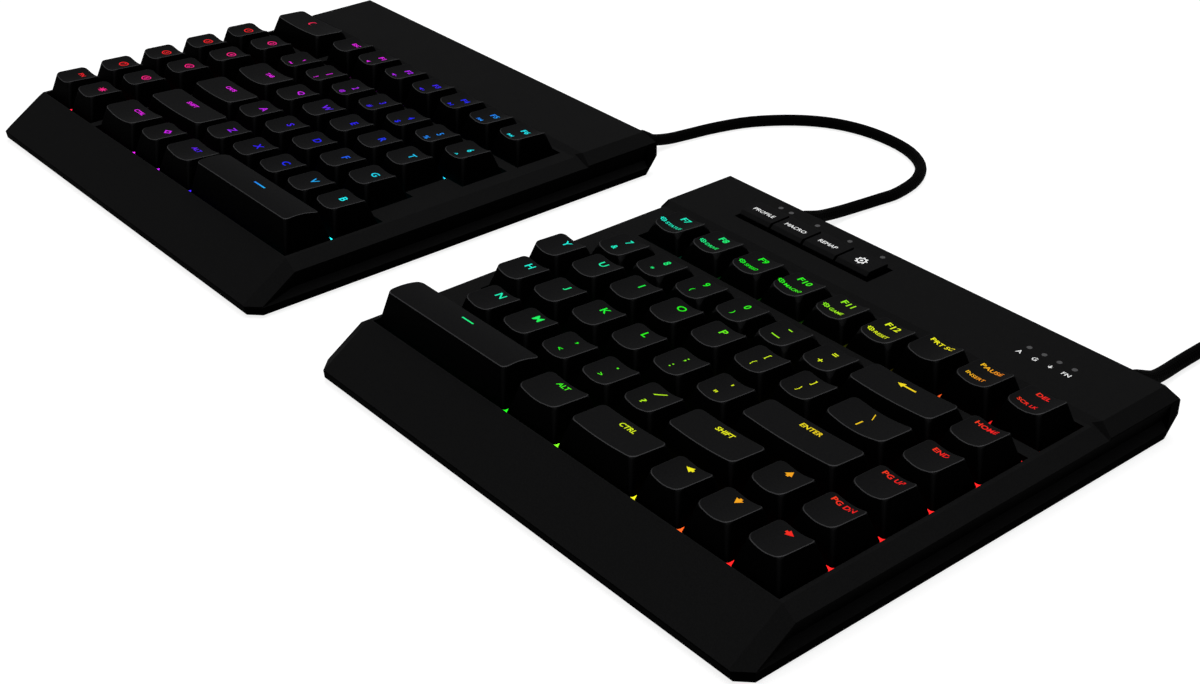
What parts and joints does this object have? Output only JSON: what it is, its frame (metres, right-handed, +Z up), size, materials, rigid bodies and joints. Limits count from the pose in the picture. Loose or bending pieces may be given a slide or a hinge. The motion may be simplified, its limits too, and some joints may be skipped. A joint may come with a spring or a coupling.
{
  "type": "split mechanical keyboard",
  "caption": "Split keyboard in two low wedge-fronted modules joined by a link cord, with tapered backlit keycaps on sprung switches, panel buttons, indicator lights and a USB cord",
  "frame": {"origin": "on the desk, under the middle of the box around the two modules, cords left out", "axes": "+X to the typist's right, +Y from the typist to the rear, +Z up"},
  "size_m": [0.4772, 0.2923, 0.0272],
  "materials": {
    "case_plastic": "fine satin texture",
    "base_plastic": "satin",
    "cap_plastic": "fine matte texture with backlit legends",
    "button_plastic": "satin",
    "plate_paint": "black powder coat",
    "board": "solder mask",
    "switch_plastic": "moulded",
    "foot_rubber": "matte",
    "screw_steel": "black zinc",
    "boot_rubber": "matte",
    "cord_jacket": "braided sleeve",
    "tie_strap": "hook and loop",
    "plug_plastic": "moulded, with a bare metal shell",
    "lens": "clear light pipe"
  },
  "bodies": {
    "left_module": {"left_top_shell": "case_plastic", "left_bottom_shell": "base_plastic", "left_switch_plate": "plate_paint", "left_circuit_board": "board", "left_switch_housings": "switch_plastic", "left_rubber_feet": "foot_rubber", "left_case_screws": "screw_steel", "left_cord_boot": "boot_rubber", "link_cord": "cord_jacket"},
    "right_module": {"right_top_shell": "case_plastic", "right_bottom_shell": "base_plastic", "right_switch_plate": "plate_paint", "right_circuit_board": "board", "right_switch_housings": "switch_plastic", "right_rubber_feet": "foot_rubber", "right_case_screws": "screw_steel", "button_switches": "switch_plastic", "indicator_lenses": "lens", "right_cord_boot": "boot_rubber", "usb_cord_boot": "boot_rubber", "usb_cord": "cord_jacket", "usb_coil": "cord_jacket", "coil_tie": "tie_strap", "usb_plug": "plug_plastic"},
    "wide_top_key": {"wide_top_key": "cap_plastic"},
    "escape_key": {"escape_key": "cap_plastic"},
    "left_function_keys": {"left_function_keys": "cap_plastic"},
    "macro_keys": {"macro_keys": "cap_plastic"},
    "left_number_keys": {"left_number_keys": "cap_plastic"},
    "tab_key": {"tab_key": "cap_plastic"},
    "left_upper_letter_keys": {"left_upper_letter_keys": "cap_plastic"},
    "caps_lock_key": {"caps_lock_key": "cap_plastic"},
    "left_home_letter_keys": {"left_home_letter_keys": "cap_plastic"},
    "left_shift_key": {"left_shift_key": "cap_plastic"},
    "left_lower_letter_keys": {"left_lower_letter_keys": "cap_plastic"},
    "left_control_key": {"left_control_key": "cap_plastic"},
    "system_key": {"system_key": "cap_plastic"},
    "left_alt_key": {"left_alt_key": "cap_plastic"},
    "left_space_bar": {"left_space_bar": "cap_plastic"},
    "right_function_keys": {"right_function_keys": "cap_plastic"},
    "edit_keys": {"edit_keys": "cap_plastic"},
    "right_number_keys": {"right_number_keys": "cap_plastic"},
    "backspace_key": {"backspace_key": "cap_plastic"},
    "navigation_keys": {"navigation_keys": "cap_plastic"},
    "right_upper_letter_keys": {"right_upper_letter_keys": "cap_plastic"},
    "right_home_letter_keys": {"right_home_letter_keys": "cap_plastic"},
    "enter_key": {"enter_key": "cap_plastic"},
    "right_lower_letter_keys": {"right_lower_letter_keys": "cap_plastic"},
    "right_shift_key": {"right_shift_key": "cap_plastic"},
    "right_space_bar": {"right_space_bar": "cap_plastic"},
    "right_alt_key": {"right_alt_key": "cap_plastic"},
    "right_control_key": {"right_control_key": "cap_plastic"},
    "arrow_up_key": {"arrow_up_key": "cap_plastic"},
    "arrow_left_key": {"arrow_left_key": "cap_plastic"},
    "arrow_down_key": {"arrow_down_key": "cap_plastic"},
    "arrow_right_key": {"arrow_right_key": "cap_plastic"},
    "profile_button": {"profile_button": "button_plastic"},
    "macro_button": {"macro_button": "button_plastic"},
    "remap_button": {"remap_button": "button_plastic"},
    "settings_button": {"settings_button": "button_plastic"}
  },
  "joints": [
    {"name": "module_spread", "type": "slide", "parent": "left_module", "child": "right_module", "axis": [1, 0, 0], "range_m": [-0.04, 0.1], "deforming": ["link_cord"]},
    {"name": "wide_top_key_press", "type": "slide", "parent": "left_module", "child": "wide_top_key", "axis": [0, 0, 1], "range_m": [-0.004, 0], "stiffness_N_per_m": 90, "springref_m": 0.004},
    {"name": "escape_key_press", "type": "slide", "parent": "left_module", "child": "escape_key", "axis": [0, 0, 1], "range_m": [-0.004, 0], "stiffness_N_per_m": 90, "springref_m": 0.004},
    {"name": "left_function_keys_press", "type": "slide", "parent": "left_module", "child": "left_function_keys", "axis": [0, 0, 1], "range_m": [-0.004, 0], "stiffness_N_per_m": 540, "springref_m": 0.004},
    {"name": "macro_keys_press", "type": "slide", "parent": "left_module", "child": "macro_keys", "axis": [0, 0, 1], "range_m": [-0.004, 0], "stiffness_N_per_m": 900, "springref_m": 0.004},
    {"name": "left_number_keys_press", "type": "slide", "parent": "left_module", "child": "left_number_keys", "axis": [0, 0, 1], "range_m": [-0.004, 0], "stiffness_N_per_m": 630, "springref_m": 0.004},
    {"name": "tab_key_press", "type": "slide", "parent": "left_module", "child": "tab_key", "axis": [0, 0, 1], "range_m": [-0.004, 0], "stiffness_N_per_m": 90, "springref_m": 0.004},
    {"name": "left_upper_letter_keys_press", "type": "slide", "parent": "left_module", "child": "left_upper_letter_keys", "axis": [0, 0, 1], "range_m": [-0.004, 0], "stiffness_N_per_m": 450, "springref_m": 0.004},
    {"name": "caps_lock_key_press", "type": "slide", "parent": "left_module", "child": "caps_lock_key", "axis": [0, 0, 1], "range_m": [-0.004, 0], "stiffness_N_per_m": 90, "springref_m": 0.004},
    {"name": "left_home_letter_keys_press", "type": "slide", "parent": "left_module", "child": "left_home_letter_keys", "axis": [0, 0, 1], "range_m": [-0.004, 0], "stiffness_N_per_m": 450, "springref_m": 0.004},
    {"name": "left_shift_key_press", "type": "slide", "parent": "left_module", "child": "left_shift_key", "axis": [0, 0, 1], "range_m": [-0.004, 0], "stiffness_N_per_m": 90, "springref_m": 0.004},
    {"name": "left_lower_letter_keys_press", "type": "slide", "parent": "left_module", "child": "left_lower_letter_keys", "axis": [0, 0, 1], "range_m": [-0.004, 0], "stiffness_N_per_m": 450, "springref_m": 0.004},
    {"name": "left_control_key_press", "type": "slide", "parent": "left_module", "child": "left_control_key", "axis": [0, 0, 1], "range_m": [-0.004, 0], "stiffness_N_per_m": 90, "springref_m": 0.004},
    {"name": "system_key_press", "type": "slide", "parent": "left_module", "child": "system_key", "axis": [0, 0, 1], "range_m": [-0.004, 0], "stiffness_N_per_m": 90, "springref_m": 0.004},
    {"name": "left_alt_key_press", "type": "slide", "parent": "left_module", "child": "left_alt_key", "axis": [0, 0, 1], "range_m": [-0.004, 0], "stiffness_N_per_m": 90, "springref_m": 0.004},
    {"name": "left_space_bar_press", "type": "slide", "parent": "left_module", "child": "left_space_bar", "axis": [0, 0, 1], "range_m": [-0.004, 0], "stiffness_N_per_m": 90, "springref_m": 0.004},
    {"name": "right_function_keys_press", "type": "slide", "parent": "right_module", "child": "right_function_keys", "axis": [0, 0, 1], "range_m": [-0.004, 0], "stiffness_N_per_m": 540, "springref_m": 0.004},
    {"name": "edit_keys_press", "type": "slide", "parent": "right_module", "child": "edit_keys", "axis": [0, 0, 1], "range_m": [-0.004, 0], "stiffness_N_per_m": 270, "springref_m": 0.004},
    {"name": "right_number_keys_press", "type": "slide", "parent": "right_module", "child": "right_number_keys", "axis": [0, 0, 1], "range_m": [-0.004, 0], "stiffness_N_per_m": 540, "springref_m": 0.004},
    {"name": "backspace_key_press", "type": "slide", "parent": "right_module", "child": "backspace_key", "axis": [0, 0, 1], "range_m": [-0.004, 0], "stiffness_N_per_m": 90, "springref_m": 0.004},
    {"name": "navigation_keys_press", "type": "slide", "parent": "right_module", "child": "navigation_keys", "axis": [0, 0, 1], "range_m": [-0.004, 0], "stiffness_N_per_m": 360, "springref_m": 0.004},
    {"name": "right_upper_letter_keys_press", "type": "slide", "parent": "right_module", "child": "right_upper_letter_keys", "axis": [0, 0, 1], "range_m": [-0.004, 0], "stiffness_N_per_m": 720, "springref_m": 0.004},
    {"name": "right_home_letter_keys_press", "type": "slide", "parent": "right_module", "child": "right_home_letter_keys", "axis": [0, 0, 1], "range_m": [-0.004, 0], "stiffness_N_per_m": 540, "springref_m": 0.004},
    {"name": "enter_key_press", "type": "slide", "parent": "right_module", "child": "enter_key", "axis": [0, 0, 1], "range_m": [-0.004, 0], "stiffness_N_per_m": 90, "springref_m": 0.004},
    {"name": "right_lower_letter_keys_press", "type": "slide", "parent": "right_module", "child": "right_lower_letter_keys", "axis": [0, 0, 1], "range_m": [-0.004, 0], "stiffness_N_per_m": 450, "springref_m": 0.004},
    {"name": "right_shift_key_press", "type": "slide", "parent": "right_module", "child": "right_shift_key", "axis": [0, 0, 1], "range_m": [-0.004, 0], "stiffness_N_per_m": 90, "springref_m": 0.004},
    {"name": "right_space_bar_press", "type": "slide", "parent": "right_module", "child": "right_space_bar", "axis": [0, 0, 1], "range_m": [-0.004, 0], "stiffness_N_per_m": 90, "springref_m": 0.004},
    {"name": "right_alt_key_press", "type": "slide", "parent": "right_module", "child": "right_alt_key", "axis": [0, 0, 1], "range_m": [-0.004, 0], "stiffness_N_per_m": 90, "springref_m": 0.004},
    {"name": "right_control_key_press", "type": "slide", "parent": "right_module", "child": "right_control_key", "axis": [0, 0, 1], "range_m": [-0.004, 0], "stiffness_N_per_m": 90, "springref_m": 0.004},
    {"name": "arrow_up_key_press", "type": "slide", "parent": "right_module", "child": "arrow_up_key", "axis": [0, 0, 1], "range_m": [-0.004, 0], "stiffness_N_per_m": 90, "springref_m": 0.004},
    {"name": "arrow_left_key_press", "type": "slide", "parent": "right_module", "child": "arrow_left_key", "axis": [0, 0, 1], "range_m": [-0.004, 0], "stiffness_N_per_m": 90, "springref_m": 0.004},
    {"name": "arrow_down_key_press", "type": "slide", "parent": "right_module", "child": "arrow_down_key", "axis": [0, 0, 1], "range_m": [-0.004, 0], "stiffness_N_per_m": 90, "springref_m": 0.004},
    {"name": "arrow_right_key_press", "type": "slide", "parent": "right_module", "child": "arrow_right_key", "axis": [0, 0, 1], "range_m": [-0.004, 0], "stiffness_N_per_m": 90, "springref_m": 0.004},
    {"name": "profile_button_press", "type": "slide", "parent": "right_module", "child": "profile_button", "axis": [0, 0, 1], "range_m": [-0.001, 0], "stiffness_N_per_m": 400, "springref_m": 0.002},
    {"name": "macro_button_press", "type": "slide", "parent": "right_module", "child": "macro_button", "axis": [0, 0, 1], "range_m": [-0.001, 0], "stiffness_N_per_m": 400, "springref_m": 0.002},
    {"name": "remap_button_press", "type": "slide", "parent": "right_module", "child": "remap_button", "axis": [0, 0, 1], "range_m": [-0.001, 0], "stiffness_N_per_m": 400, "springref_m": 0.002},
    {"name": "settings_button_press", "type": "slide", "parent": "right_module", "child": "settings_button", "axis": [0, 0, 1], "range_m": [-0.001, 0], "stiffness_N_per_m": 400, "springref_m": 0.002}
  ]
}
